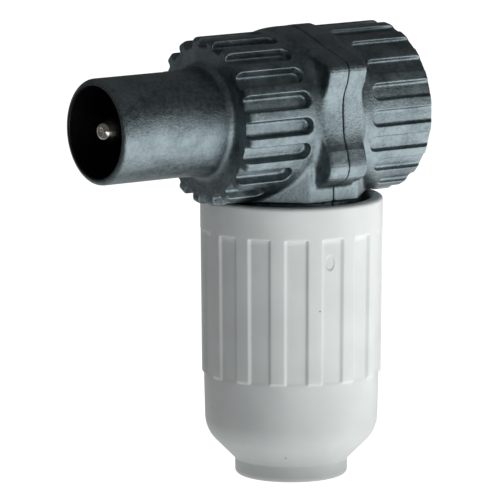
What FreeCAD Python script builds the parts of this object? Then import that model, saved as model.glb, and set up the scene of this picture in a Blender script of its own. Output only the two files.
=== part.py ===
import FreeCAD, Part
import math
import os
import Sketcher

# Right-angle coaxial plug, a two-shell die-casting closed by a ribbed cap nut.
# Millimetres. +Z is up along the cable's axis, and the plug points along -X.
# The origin is the centre of the cable entry, in the cap nut's bottom face.
# Shells, pin and insulators are drawn about the point where the plug's axis
# crosses the cable's axis, and are then lifted to axis_height.

SIZES = {
    # Where the plug's axis crosses the cable's axis
    "axis_height": 33.1,
    # Outer conductor tube, from the drum's front face to its mouth
    "tube_radius": 4.75,
    "tube_root_radius": 4.88,
    "tube_bore_radius": 4.12,
    "tube_length": 11.6,
    "tube_straight_length": 8.45,
    "tube_lip": 0.4,
    "tube_bore_lip": 0.12,
    "tube_root_fillet": 0.4,
    # Front drum, measured from the parting plane
    "front_drum_radius": 7.6,
    "front_drum_length": 9.85,
    "front_drum_edge": 0.55,
    "front_wall": 1.2,
    "front_cavity_radius": 5.6,
    # Rear drum, measured from the parting plane
    "rear_drum_radius": 7.7,
    "rear_drum_length": 10.5,
    "rear_drum_edge": 0.8,
    "rear_wall": 1.5,
    "rear_cavity_radius": 6.15,
    # Grip slots round both drums
    "slot_step": 18.0,
    "slot_draft": 11.0,
    "slot_clear": 0.3,
    "front_slot_width": 1.5,
    "front_slot_depth": 0.85,
    "front_slot_end": 3.05,
    "front_slot_lag": 0.45,
    "front_slot_land": 1.55,
    "rear_slot_width": 1.45,
    "rear_slot_depth": 0.45,
    "rear_slot_end": 3.5,
    "rear_slot_top_end": 2.6,
    "rear_slot_land": 1.85,
    # Waisted flange at the parting plane, half of it on each shell
    "front_flange_depth": 2.1,
    "rear_flange_depth": 2.1,
    "flange_apex_height": 7.9,
    "flange_shoulder_width": 8.97,
    "flange_shoulder_height": 5.38,
    "flange_waist_top_width": 8.87,
    "flange_waist_top": 4.1,
    "flange_waist_bottom_width": 8.75,
    "flange_waist_bottom": 3.2,
    "flange_waist_radius": 5.9,
    "flange_hip_width": 8.87,
    "flange_hip_height": 4.91,
    "flange_foot_width": 6.3,
    "flange_foot_height": 5.93,
    "flange_corner_radius": 0.95,
    "flange_rim_fillet": 0.25,
    # Octagonal neck and threaded collar under the drums
    "neck_half_flats": 6.45,
    "neck_bottom": 7.35,
    "neck_height": 6.3,
    "collar_radius": 6.75,
    "collar_length": 12.95,
    "collar_root": 0.5,
    "collar_root_radius": 6.0,
    "collar_chamfer": 0.4,
    "rim_relief_gap": 0.2,
    "channel_radius": 4.2,
    # Pegs that line the two shells up
    "peg_radius": 0.6,
    "peg_length": 1.3,
    "peg_gap": 0.05,
    "peg_hole_spare": 0.2,
    "peg_across": 7.5,
    "peg_up": 4.4,
    # Centre pin with its terminal block
    "pin_radius": 1.2,
    "pin_recess": 0.6,
    "pin_tip_radius": 0.65,
    "pin_taper_length": 1.2,
    "pin_dimple_radius": 0.35,
    "pin_dimple_depth": 0.3,
    "pin_seat_radius": 1.4,
    "pin_seat_lead": 0.1,
    "pin_shoulder_radius": 1.8,
    "pin_shoulder_front": 6.0,
    "terminal_radius": 2.3,
    "terminal_front": 3.4,
    "terminal_rear": 3.2,
    "wire_hole_radius": 0.75,
    "wire_hole_depth": 3.5,
    # Terminal screw
    "screw_radius": 1.0,
    "screw_head_radius": 2.1,
    "screw_head_height": 1.3,
    "screw_head_gap": 0.7,
    "screw_length": 3.0,
    "screw_end_spare": 0.2,
    "screw_slot_width": 0.5,
    "screw_slot_depth": 0.6,
    # Insulators
    "insert_gap": 0.05,
    "bead_nose_front": 11.5,
    "bead_rear": 3.9,
    "cap_wall": 0.8,
    "cap_front": 4.5,
    # Cap nut
    "nut_rim_gap": 0.15,
    "nut_neck_radius": 5.1,
    "nut_neck_height": 1.5,
    "nut_neck_edge": 0.5,
    "nut_shoulder_radius": 7.8,
    "nut_shoulder_round": 3.0,
    "nut_body_radius": 7.9,
    "nut_rib_bottom": 9.35,
    "nut_rib_radius": 8.13,
    "nut_rib_slope": 0.3,
    "nut_rim_radius": 8.28,
    "nut_rim_edge": 0.25,
    "nut_entry_radius": 3.7,
    "nut_cone_wall": 1.3,
    "nut_well_radius": 6.6,
    "nut_thread_lead": 1.0,
    "nut_thread_gap": 0.2,
    "nut_recess_bottom": 9.3,
    "nut_recess_floor_bottom": 7.905,
    "nut_recess_floor_top": 8.02,
    "nut_band_height": 3.0,
    "nut_recess_angle": 13.7,
    "nut_recess_offset": -2.1,
    # Clamp cage in the nut's cone
    "cage_gap": 0.15,
    "cage_bore_radius": 3.75,
    "cage_lip": 0.85,
    "cage_jaw_share": 0.31,
    "cage_wall": 1.45,
    "cage_top_gap": 0.2,
    "cage_slit_width": 0.8,
    "cage_slit_share": 0.62,
}

OVERSHOOT = 1.0
TOLERANCE = 1e-3
OCTAGON_HALF_ANGLE = 22.5

SLOTS_ROUND_DRUM = 20
RIBS_ROUND_NUT = 15
SLITS_ROUND_CAGE = 6


# Sizes and their expressions

class Size:
    """A length as a number, with the sheet expression that gives it."""

    def __init__(self, value, text):
        self.value = value
        self.text = text

    def __add__(self, other):
        other = as_size(other)
        return Size(self.value + other.value, f"({self.text} + {other.text})")

    def __sub__(self, other):
        other = as_size(other)
        return Size(self.value - other.value, f"({self.text} - {other.text})")

    def __mul__(self, other):
        other = as_size(other)
        return Size(self.value * other.value, f"({self.text} * {other.text})")

    def __truediv__(self, other):
        other = as_size(other)
        return Size(self.value / other.value, f"({self.text} / {other.text})")

    def __neg__(self):
        return Size(-self.value, f"(-1 * {self.text})")


def as_size(number):
    """A plain number as a Size; a Size is returned as it is."""
    if isinstance(number, Size):
        return number
    return Size(float(number), repr(float(number)))


def sine(angle):
    angle = as_size(angle)
    return Size(math.sin(math.radians(angle.value)), f"sin({angle.text} * 1deg)")


def cosine(angle):
    angle = as_size(angle)
    return Size(math.cos(math.radians(angle.value)), f"cos({angle.text} * 1deg)")


def tangent(angle):
    angle = as_size(angle)
    return Size(math.tan(math.radians(angle.value)), f"tan({angle.text} * 1deg)")


class Sheet:
    """The driving sizes, read as attributes: sheet.tube_radius is a Size."""

    def __init__(self, document):
        self.cells = document.addObject("Spreadsheet::Sheet", "Sizes")
        for row, (name, value) in enumerate(SIZES.items(), start=1):
            self.cells.set(f"A{row}", name)
            self.cells.set(f"B{row}", str(value))
            self.cells.setAlias(f"B{row}", name)
        document.recompute()

    def __getattr__(self, name):
        return Size(float(self.cells.get(name)), f"Sizes.{name}")


DOC = FreeCAD.newDocument("right_angle_plug")
S = Sheet(DOC)
ORIGIN = as_size(0)


# Bodies, sketches and features

def new_body(label, lifted=False):
    """An empty body; a lifted one is drawn about the crossing of the axes."""
    body = DOC.addObject("PartDesign::Body", label)
    body.Label = label
    if lifted:
        body.setExpression("Placement.Base.z", S.axis_height.text)
    return body


def new_sketch(body, name, role):
    """A sketch on one of the body's own origin planes."""
    sketch = body.newObject("Sketcher::SketchObject", name)
    plane = [item for item in body.Origin.OriginFeatures if item.Role == role][0]
    sketch.AttachmentSupport = [(plane, "")]
    sketch.MapMode = "FlatFace"
    return sketch


def vector(point):
    return FreeCAD.Vector(point[0].value, point[1].value, 0)


def bind(sketch, kind, arguments, size):
    """Adds a dimension to the sketch and ties it to the sheet."""
    index = sketch.addConstraint(Sketcher.Constraint(kind, *arguments, size.value))
    sketch.setExpression(f"Constraints[{index}]", size.text)


def pin_point(sketch, geometry, end, point):
    """Holds one end of a line or arc at its place."""
    bind(sketch, "DistanceX", (geometry, end), point[0])
    bind(sketch, "DistanceY", (geometry, end), point[1])


def draw_outline(sketch, points, arcs=None):
    """A closed outline through points.

    arcs gives, by side, an arc's middle point and either its radius or, for a
    half circle, the place of its centre along x.
    """
    arcs = arcs or {}
    points = [(as_size(x), as_size(y)) for x, y in points]
    turned = {}
    for index, point in enumerate(points):
        start = vector(point)
        end = vector(points[(index + 1) % len(points)])
        if index in arcs:
            middle = vector([as_size(number) for number in arcs[index][0]])
            turned[index] = (middle - start).cross(end - start).z < 0
            if turned[index]:
                start, end = end, start
            sketch.addGeometry(Part.Arc(start, middle, end), False)
        else:
            sketch.addGeometry(Part.LineSegment(start, end), False)
    for index, start in enumerate(points):
        first = 2 if turned.get(index) else 1
        pin_point(sketch, index, first, start)
        following = (index + 1) % len(points)
        last = 1 if turned.get(index) else 2
        onto = 2 if turned.get(following) else 1
        sketch.addConstraint(Sketcher.Constraint("Coincident", index, last, following, onto))
    for index, (_, kind, size) in arcs.items():
        if kind == "radius":
            bind(sketch, "Radius", (index,), as_size(size))
        else:
            bind(sketch, "DistanceX", (index, 3), as_size(size))


def revolve(body, name, sketch, axis, angle=360.0, cut=False, middle=False, backwards=False):
    """Turns a sketch about its own H_Axis or V_Axis, to add or to cut."""
    kind = "PartDesign::Groove" if cut else "PartDesign::Revolution"
    feature = body.newObject(kind, name)
    feature.Profile = sketch
    feature.ReferenceAxis = (sketch, [axis])
    angle = as_size(angle)
    feature.Angle = angle.value
    feature.setExpression("Angle", angle.text)
    feature.Midplane = middle
    feature.Reversed = backwards
    return feature


def pad(body, name, sketch, length, backwards=False):
    feature = body.newObject("PartDesign::Pad", name)
    feature.Profile = sketch
    feature.setExpression("Length", length.text)
    feature.Reversed = backwards
    return feature


def pocket(body, name, sketch, length, draft=None, backwards=False, middle=False):
    feature = body.newObject("PartDesign::Pocket", name)
    feature.Profile = sketch
    feature.setExpression("Length", length.text)
    feature.Reversed = backwards
    feature.Midplane = middle
    if draft is not None:
        feature.setExpression("TaperAngle", draft.text)
    return feature


def polar(body, name, feature, sketch, axis, count):
    """Copies a feature round the sketch's own axis."""
    pattern = body.newObject("PartDesign::PolarPattern", name)
    pattern.Originals = [feature]
    pattern.Axis = (sketch, [axis])
    pattern.Angle = 360
    pattern.Occurrences = count
    body.Tip = pattern
    return pattern


def round_edges(body, name, base, edges, radius, kind="Fillet"):
    """Rounds or chamfers the named edges of the feature before it."""
    feature = body.newObject(f"PartDesign::{kind}", name)
    feature.Base = (base, edges)
    feature.setExpression("Radius" if kind == "Fillet" else "Size", radius.text)
    return feature


def edge_names(feature, wanted):
    """The names of the feature's edges that wanted(edge) accepts."""
    DOC.recompute()
    edges = enumerate(feature.Shape.Edges, start=1)
    return [f"Edge{number}" for number, edge in edges if wanted(edge)]


def is_near(value, size):
    return abs(value - size.value) < TOLERANCE


def rings(feature, place, radius, axis="x"):
    """Round edges of one radius, at one place along an axis."""
    def wanted(edge):
        curve = edge.Curve
        if not isinstance(curve, Part.Circle):
            return False
        return is_near(getattr(curve.Center, axis), place) and is_near(curve.Radius, radius)
    return edge_names(feature, wanted)


# The two die-cast shells

FLANGE_SIDES = (1, -1)


def flange_points():
    """Corners of the flange, seen along the plug: apex, shoulders, waist, hips, foot."""
    half = [
        (S.flange_shoulder_width, S.flange_shoulder_height),
        (S.flange_waist_top_width, S.flange_waist_top),
        (S.flange_waist_bottom_width, -S.flange_waist_bottom),
        (S.flange_hip_width, -S.flange_hip_height),
        (S.flange_foot_width, -S.flange_foot_height),
    ]
    other = [(-y, z) for y, z in reversed(half)]
    return [(ORIGIN, S.flange_apex_height)] + half + other


def waist_point(side):
    """The waist's deepest point, from the ends and the radius of its arc."""
    half_chord = (S.flange_waist_top + S.flange_waist_bottom) / 2
    radius = S.flange_waist_radius.value
    sagitta = radius - math.sqrt(radius ** 2 - half_chord.value ** 2)
    across = (S.flange_waist_top_width + S.flange_waist_bottom_width) / 2
    up = (S.flange_waist_top - S.flange_waist_bottom) / 2
    return ((across.value - sagitta) * side, up.value)


def add_flange(body, depth, side):
    """The first feature of a shell, so that its rim is rounded before the drum joins it."""
    sketch = new_sketch(body, "flange_outline", "YZ_Plane")
    arcs = {
        2: (waist_point(1), "radius", S.flange_waist_radius),
        8: (waist_point(-1), "radius", S.flange_waist_radius),
    }
    draw_outline(sketch, flange_points(), arcs)
    flange = pad(body, "flange", sketch, depth, backwards=side < 0)
    corners = [
        (S.flange_shoulder_width, S.flange_shoulder_height),
        (S.flange_hip_width, -S.flange_hip_height),
    ]

    def is_corner(edge):
        ends = edge.Vertexes
        if len(ends) < 2 or is_near(ends[0].X, as_size(ends[1].X)):
            return False
        return any(
            is_near(abs(ends[0].Y), y) and is_near(ends[0].Z, z) for y, z in corners
        )

    def is_rim(edge):
        box = edge.BoundBox
        return is_near(box.XMin, depth * side) and is_near(box.XMax, depth * side)
    base = round_edges(
        body, "flange_corners", flange, edge_names(flange, is_corner), S.flange_corner_radius)
    round_edges(body, "flange_rim", base, edge_names(base, is_rim), S.flange_rim_fillet)


def add_neck(body, side):
    """Half of the octagonal neck; side is -1 in front of the parting plane."""
    flats = S.neck_half_flats
    half_side = flats * tangent(OCTAGON_HALF_ANGLE)
    sketch = new_sketch(body, "neck_outline", "XY_Plane")
    sketch.setExpression("AttachmentOffset.Base.z", (-S.neck_bottom).text)
    draw_outline(sketch, [
        (ORIGIN, -flats),
        (half_side * side, -flats),
        (flats * side, -half_side),
        (flats * side, half_side),
        (half_side * side, flats),
        (ORIGIN, flats),
    ])
    return pad(body, "neck", sketch, S.neck_height)


def cut_rim_relief(body):
    """A flat under the drum, level with the neck's end, that clears the nut's rim."""
    sketch = new_sketch(body, "rim_relief_outline", "XY_Plane")
    sketch.setExpression("AttachmentOffset.Base.z", (-S.neck_bottom).text)
    draw_circle(sketch, ORIGIN, ORIGIN, S.nut_rim_radius + S.rim_relief_gap)
    pocket(body, "rim_relief", sketch, S.rear_drum_radius)


def add_collar(body, side):
    """Half of the threaded collar, with its chamfered end."""
    top = S.collar_root - S.neck_bottom
    bottom = -S.neck_bottom - S.collar_length
    sketch = new_sketch(body, "collar_outline", "YZ_Plane")
    draw_outline(sketch, [
        (ORIGIN, bottom),
        (S.collar_radius - S.collar_chamfer, bottom),
        (S.collar_radius, bottom + S.collar_chamfer),
        (S.collar_radius, -S.neck_bottom),
        (S.collar_root_radius, -S.neck_bottom),
        (S.collar_root_radius, top),
        (ORIGIN, top),
    ])
    return revolve(body, "collar", sketch, "V_Axis", 180.0, backwards=side > 0)


def cut_channel(body):
    """The cable's way up through the collar to the terminal."""
    bottom = -S.neck_bottom - S.collar_length - S.collar_root
    sketch = new_sketch(body, "channel_outline", "XZ_Plane")
    draw_outline(sketch, [
        (ORIGIN, bottom),
        (S.channel_radius, bottom),
        (S.channel_radius, ORIGIN),
        (ORIGIN, ORIGIN),
    ])
    return revolve(body, "channel", sketch, "V_Axis", cut=True)


def neck_reach(angle):
    """How far the neck stands out along the plug where a slot's middle line runs."""
    flats = S.neck_half_flats
    half_side = flats * tangent(OCTAGON_HALF_ANGLE)
    across = abs(math.cos(math.radians(angle)))
    if across * S.front_drum_radius.value < half_side.value:
        return flats
    return flats + half_side - S.front_drum_radius * across


def is_over_neck(angle):
    """Whether a slot runs down over the neck; the ones just under the middle don't."""
    return math.sin(math.radians(angle)) < -0.5


def front_slot_end(angle):
    if is_over_neck(angle):
        return neck_reach(angle) + S.front_slot_land
    rise = math.sin(math.radians(angle)) ** 2
    return S.front_slot_end + S.front_slot_lag * rise


def rear_slot_end(angle):
    if is_over_neck(angle):
        return neck_reach(angle) + S.rear_slot_land
    if math.sin(math.radians(angle)) > 0.9:
        return S.rear_slot_top_end
    return S.rear_slot_end


def cut_slot(body, index, side, drum, width, depth, inner_end, outer_end):
    """One drafted grip slot, round at its closed end and open at the drum's end face."""
    angle = S.slot_step * index
    plane_radius = drum + S.slot_clear
    half_width = width / 2 + S.slot_clear * tangent(S.slot_draft)
    sketch = new_sketch(body, f"slot_{index}_outline", "XZ_Plane")
    turn = FreeCAD.Rotation(FreeCAD.Vector(1, 0, 0), -angle.value)
    sketch.AttachmentOffset = FreeCAD.Placement(FreeCAD.Vector(), turn)
    sketch.setExpression("AttachmentOffset.Base.y", (plane_radius * sine(angle)).text)
    sketch.setExpression("AttachmentOffset.Base.z", (plane_radius * cosine(angle)).text)
    round_start = (inner_end + half_width) * side
    open_end = (outer_end + OVERSHOOT) * side
    draw_outline(
        sketch,
        [
            (open_end, half_width),
            (round_start, half_width),
            (round_start, -half_width),
            (open_end, -half_width),
        ],
        {1: ((inner_end * side, ORIGIN), "centre", round_start)},
    )
    pocket(body, f"slot_{index}", sketch, depth + S.slot_clear, S.slot_draft)


def make_front_shell():
    """Tube, slotted front drum and the front halves of flange, neck and collar."""
    body = new_body("front_shell", lifted=True)
    add_flange(body, S.front_flange_depth, -1)
    face = -S.front_drum_length
    mouth = face - S.tube_length
    sketch = new_sketch(body, "tube_and_drum_outline", "XZ_Plane")
    draw_outline(sketch, [
        (mouth, ORIGIN),
        (mouth, S.tube_radius),
        (mouth + S.tube_straight_length, S.tube_radius),
        (face, S.tube_root_radius),
        (face, S.front_drum_radius),
        (ORIGIN, S.front_drum_radius),
        (ORIGIN, ORIGIN),
    ])
    base = revolve(body, "tube_and_drum", sketch, "H_Axis")
    base = round_edges(
        body, "tube_root", base, rings(base, face, S.tube_root_radius), S.tube_root_fillet)
    base = round_edges(
        body, "drum_edge", base, rings(base, face, S.front_drum_radius), S.front_drum_edge)
    for index in range(SLOTS_ROUND_DRUM):
        end = front_slot_end(S.slot_step.value * index)
        cut_slot(body, index, -1, S.front_drum_radius, S.front_slot_width,
                 S.front_slot_depth, end, S.front_drum_length)
    add_neck(body, -1)
    cut_rim_relief(body)
    add_collar(body, -1)
    cavity = new_sketch(body, "cavity_outline", "XZ_Plane")
    seat = face + S.front_wall
    draw_outline(cavity, [
        (mouth - OVERSHOOT, ORIGIN),
        (mouth - OVERSHOOT, S.tube_bore_radius),
        (seat, S.tube_bore_radius),
        (seat, S.front_cavity_radius),
        (ORIGIN, S.front_cavity_radius),
        (ORIGIN, ORIGIN),
    ])
    revolve(body, "cavity", cavity, "H_Axis", cut=True)
    base = cut_channel(body)
    base = round_edges(body, "tube_lip", base, rings(base, mouth, S.tube_radius), S.tube_lip)
    round_edges(
        body, "tube_bore_lip", base, rings(base, mouth, S.tube_bore_radius), S.tube_bore_lip)
    for side in FLANGE_SIDES:
        name = "left" if side > 0 else "right"
        hole = new_sketch(body, f"peg_hole_{name}_outline", "YZ_Plane")
        draw_circle(hole, S.peg_across * side, S.peg_up, S.peg_radius + S.peg_gap)
        pocket(body, f"peg_hole_{name}", hole, S.peg_length + S.peg_hole_spare)
    return body


def draw_circle(sketch, across, up, radius):
    circle = Part.Circle(vector((across, up)), FreeCAD.Vector(0, 0, 1), radius.value)
    index = sketch.addGeometry(circle, False)
    pin_point(sketch, index, 3, (across, up))
    bind(sketch, "Radius", (index,), radius)


def make_rear_shell():
    """Fluted rear drum and the rear halves of flange, neck and collar, with two pegs."""
    body = new_body("rear_shell", lifted=True)
    add_flange(body, S.rear_flange_depth, 1)
    face = S.rear_drum_length
    sketch = new_sketch(body, "drum_outline", "XZ_Plane")
    draw_outline(sketch, [
        (ORIGIN, ORIGIN),
        (ORIGIN, S.rear_drum_radius),
        (face, S.rear_drum_radius),
        (face, ORIGIN),
    ])
    base = revolve(body, "drum", sketch, "H_Axis")
    base = round_edges(
        body, "drum_edge", base, rings(base, face, S.rear_drum_radius), S.rear_drum_edge)
    for index in range(SLOTS_ROUND_DRUM):
        end = rear_slot_end(S.slot_step.value * index)
        cut_slot(body, index, 1, S.rear_drum_radius, S.rear_slot_width,
                 S.rear_slot_depth, end, S.rear_drum_length)
    add_neck(body, 1)
    cut_rim_relief(body)
    add_collar(body, 1)
    cavity = new_sketch(body, "cavity_outline", "XZ_Plane")
    draw_outline(cavity, [
        (ORIGIN, ORIGIN),
        (ORIGIN, S.rear_cavity_radius),
        (face - S.rear_wall, S.rear_cavity_radius),
        (face - S.rear_wall, ORIGIN),
    ])
    revolve(body, "cavity", cavity, "H_Axis", cut=True)
    cut_channel(body)
    for side in FLANGE_SIDES:
        name = "left" if side > 0 else "right"
        peg = new_sketch(body, f"peg_{name}_outline", "YZ_Plane")
        draw_circle(peg, S.peg_across * side, S.peg_up, S.peg_radius)
        pad(body, f"peg_{name}", peg, S.peg_length, backwards=True)
    return body


# Pin, screw and insulators

def make_contact_pin():
    """Turned pin: dimpled tip, taper, shaft, shoulder in the bead, terminal block."""
    body = new_body("contact_pin", lifted=True)
    tip = S.pin_recess - S.front_drum_length - S.tube_length
    seat = -S.bead_nose_front - S.pin_seat_lead
    shoulder = -S.pin_shoulder_front
    block = -S.terminal_front
    sketch = new_sketch(body, "turned_outline", "XZ_Plane")
    draw_outline(sketch, [
        (tip + S.pin_dimple_depth, ORIGIN),
        (tip, S.pin_dimple_radius),
        (tip, S.pin_tip_radius),
        (tip + S.pin_taper_length, S.pin_radius),
        (seat, S.pin_radius),
        (seat, S.pin_seat_radius),
        (shoulder, S.pin_seat_radius),
        (shoulder, S.pin_shoulder_radius),
        (block, S.pin_shoulder_radius),
        (block, S.terminal_radius),
        (S.terminal_rear, S.terminal_radius),
        (S.terminal_rear, ORIGIN),
    ])
    revolve(body, "turned", sketch, "H_Axis")
    tapped = new_sketch(body, "tapped_hole_outline", "XZ_Plane")
    depth = S.screw_length - S.screw_head_gap + S.screw_end_spare
    draw_outline(tapped, [
        (S.terminal_rear - depth, ORIGIN),
        (S.terminal_rear - depth, S.screw_radius + S.insert_gap),
        (S.terminal_rear, S.screw_radius + S.insert_gap),
        (S.terminal_rear, ORIGIN),
    ])
    revolve(body, "tapped_hole", tapped, "H_Axis", cut=True)
    wire = new_sketch(body, "wire_hole_outline", "XY_Plane")
    wire.setExpression("AttachmentOffset.Base.z", (-S.terminal_radius - S.insert_gap).text)
    draw_circle(wire, ORIGIN, ORIGIN, S.wire_hole_radius)
    pocket(body, "wire_hole", wire, S.wire_hole_depth, backwards=True)
    return body


def make_terminal_screw():
    """Slotted cheese-head screw, backed off to leave the wire hole open."""
    body = new_body("terminal_screw", lifted=True)
    under_head = S.terminal_rear + S.screw_head_gap
    top = under_head + S.screw_head_height
    sketch = new_sketch(body, "turned_outline", "XZ_Plane")
    draw_outline(sketch, [
        (under_head - S.screw_length, ORIGIN),
        (under_head - S.screw_length, S.screw_radius),
        (under_head, S.screw_radius),
        (under_head, S.screw_head_radius),
        (top, S.screw_head_radius),
        (top, ORIGIN),
    ])
    revolve(body, "turned", sketch, "H_Axis")
    slot = new_sketch(body, "driver_slot_outline", "XZ_Plane")
    draw_outline(slot, [
        (top - S.screw_slot_depth, -S.screw_slot_width / 2),
        (top + OVERSHOOT, -S.screw_slot_width / 2),
        (top + OVERSHOOT, S.screw_slot_width / 2),
        (top - S.screw_slot_depth, S.screw_slot_width / 2),
    ])
    pocket(body, "driver_slot", slot, S.screw_head_radius * 2 + OVERSHOOT, middle=True)
    return body


def make_front_insulator():
    """Bead that seats on the front shell's inner shoulder and carries the pin."""
    body = new_body("front_insulator", lifted=True)
    seat = S.front_wall - S.front_drum_length
    bore = S.pin_seat_radius + S.insert_gap
    sketch = new_sketch(body, "bead_outline", "XZ_Plane")
    draw_outline(sketch, [
        (-S.bead_nose_front, bore),
        (-S.bead_nose_front, S.tube_bore_radius - S.insert_gap),
        (seat, S.tube_bore_radius - S.insert_gap),
        (seat, S.front_cavity_radius - S.insert_gap),
        (-S.bead_rear, S.front_cavity_radius - S.insert_gap),
        (-S.bead_rear, S.pin_shoulder_radius + S.insert_gap),
        (-S.pin_shoulder_front, S.pin_shoulder_radius + S.insert_gap),
        (-S.pin_shoulder_front, bore),
    ])
    revolve(body, "bead", sketch, "H_Axis")
    return body


def make_rear_insulator():
    """Cap over the terminal screw, pushed into the rear shell's drum."""
    body = new_body("rear_insulator", lifted=True)
    back = S.rear_drum_length - S.rear_wall - S.insert_gap
    outer = S.rear_cavity_radius - S.insert_gap
    sketch = new_sketch(body, "cap_outline", "XZ_Plane")
    draw_outline(sketch, [
        (S.cap_front, outer - S.cap_wall),
        (S.cap_front, outer),
        (back, outer),
        (back, ORIGIN),
        (back - S.cap_wall, ORIGIN),
        (back - S.cap_wall, outer - S.cap_wall),
    ])
    revolve(body, "cap", sketch, "H_Axis")
    return body


# Cap nut and clamp cage

def collar_end():
    """Height of the collar's lower end in the nut."""
    return S.axis_height - S.neck_bottom - S.collar_length


def cone_height(radius, wall):
    """Height on the nut's cone at a radius, for a line set in by wall."""
    outer_start = S.nut_neck_height - S.nut_neck_radius
    return radius + outer_start + wall * math.sqrt(2)


def make_cap_nut():
    """Ribbed nut: cable neck, cone, round shoulder, recesses and plain top band."""
    body = new_body("cap_nut")
    well_floor = cone_height(S.nut_well_radius, S.nut_cone_wall)
    height = S.axis_height - S.neck_bottom - S.nut_rim_gap
    thread = S.collar_radius + S.nut_thread_gap
    thread_bottom = collar_end() - S.nut_thread_lead
    sketch = new_sketch(body, "nut_outline", "XZ_Plane")
    draw_outline(sketch, [
        (S.nut_entry_radius, ORIGIN),
        (S.nut_neck_radius, ORIGIN),
        (S.nut_neck_radius, S.nut_neck_height),
        (S.nut_shoulder_radius, cone_height(S.nut_shoulder_radius, as_size(0))),
        (S.nut_body_radius, S.nut_rib_bottom),
        (S.nut_rib_radius, S.nut_rib_bottom + S.nut_rib_slope),
        (S.nut_rim_radius, height),
        (thread, height),
        (thread, thread_bottom),
        (S.nut_well_radius, thread_bottom),
        (S.nut_well_radius, well_floor),
        (S.nut_entry_radius, cone_height(S.nut_entry_radius, S.nut_cone_wall)),
    ])
    base = revolve(body, "nut", sketch, "V_Axis")
    shoulder = cone_height(S.nut_shoulder_radius, as_size(0))
    base = round_edges(
        body, "shoulder", base, rings(base, shoulder, S.nut_shoulder_radius, "z"),
        S.nut_shoulder_round)
    base = round_edges(
        body, "neck_edge", base, rings(base, ORIGIN, S.nut_neck_radius, "z"), S.nut_neck_edge)
    rim = rings(base, height, S.nut_rim_radius, "z")
    round_edges(body, "rim_edge", base, rim, S.nut_rim_edge)
    recess = new_sketch(body, "recess_outline", "XZ_Plane")
    turn = FreeCAD.Rotation(FreeCAD.Vector(0, 1, 0), S.nut_recess_offset.value)
    recess.AttachmentOffset = FreeCAD.Placement(FreeCAD.Vector(), turn)
    outside = S.nut_rim_radius + OVERSHOOT
    recess_top = height - S.nut_band_height
    draw_outline(recess, [
        (S.nut_recess_floor_bottom, S.nut_recess_bottom),
        (outside, S.nut_recess_bottom),
        (outside, recess_top),
        (S.nut_recess_floor_top, recess_top),
    ])
    cut = revolve(body, "recess", recess, "V_Axis", S.nut_recess_angle, cut=True, middle=True)
    polar(body, "recesses", cut, recess, "V_Axis", RIBS_ROUND_NUT)
    return body


def make_clamp_cage():
    """Slit cage: its jaws lie in the nut's cone, its ring under the collar."""
    body = new_body("clamp_cage")
    outer = S.nut_well_radius - S.cage_gap
    lip = S.cage_bore_radius + S.cage_lip
    wall = S.nut_cone_wall + S.cage_gap
    bottom = cone_height(lip, wall)
    top = collar_end() - S.cage_top_gap
    jaw_top = bottom + (top - bottom) * S.cage_jaw_share
    slit_top = bottom + (top - bottom) * S.cage_slit_share
    ring_bore = outer - S.cage_wall
    sketch = new_sketch(body, "cage_outline", "XZ_Plane")
    draw_outline(sketch, [
        (S.cage_bore_radius, bottom),
        (lip, bottom),
        (outer, cone_height(outer, wall)),
        (outer, top),
        (ring_bore, top),
        (ring_bore, jaw_top + ring_bore - S.cage_bore_radius),
        (S.cage_bore_radius, jaw_top),
    ])
    revolve(body, "cage", sketch, "V_Axis")
    slit = new_sketch(body, "slit_outline", "XZ_Plane")
    draw_outline(slit, [
        (ORIGIN, bottom - OVERSHOOT),
        (outer + OVERSHOOT, bottom - OVERSHOOT),
        (outer + OVERSHOOT, slit_top),
        (ORIGIN, slit_top),
    ])
    cut = pocket(body, "slit", slit, S.cage_slit_width, middle=True)
    polar(body, "slits", cut, slit, "V_Axis", SLITS_ROUND_CAGE)
    return body


# Building, checking and writing

MAKERS = [
    make_front_shell,
    make_rear_shell,
    make_contact_pin,
    make_terminal_screw,
    make_front_insulator,
    make_rear_insulator,
    make_cap_nut,
    make_clamp_cage,
]


def check_document(bodies):
    """Stops on a failed feature, or on a shape that is empty, open or in pieces."""
    for item in DOC.Objects:
        if "Invalid" in item.State or "Error" in item.State:
            raise RuntimeError(f"{item.Name} failed: {item.State}")
    for body in bodies:
        shape = body.Shape
        if shape.isNull() or not shape.isValid():
            raise RuntimeError(f"{body.Label} has no valid shape")
        if len(shape.Solids) != 1:
            raise RuntimeError(f"{body.Label} has {len(shape.Solids)} solids")


def main():
    bodies = [make() for make in MAKERS]
    DOC.recompute()
    check_document(bodies)
    os.makedirs("parts", exist_ok=True)
    for body in bodies:
        body.Shape.exportStep(f"parts/{body.Label}.step")
        box = body.Shape.BoundBox
        print(f"{body.Label}: {body.Shape.Volume:.1f} mm3, x {box.XMin:.2f} to {box.XMax:.2f}, "
              f"y {box.YMin:.2f} to {box.YMax:.2f}, z {box.ZMin:.2f} to {box.ZMax:.2f}")


main()
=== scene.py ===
import logging
import math
from dataclasses import dataclass
from enum import Enum
from typing import Callable, Optional, Sequence

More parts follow.
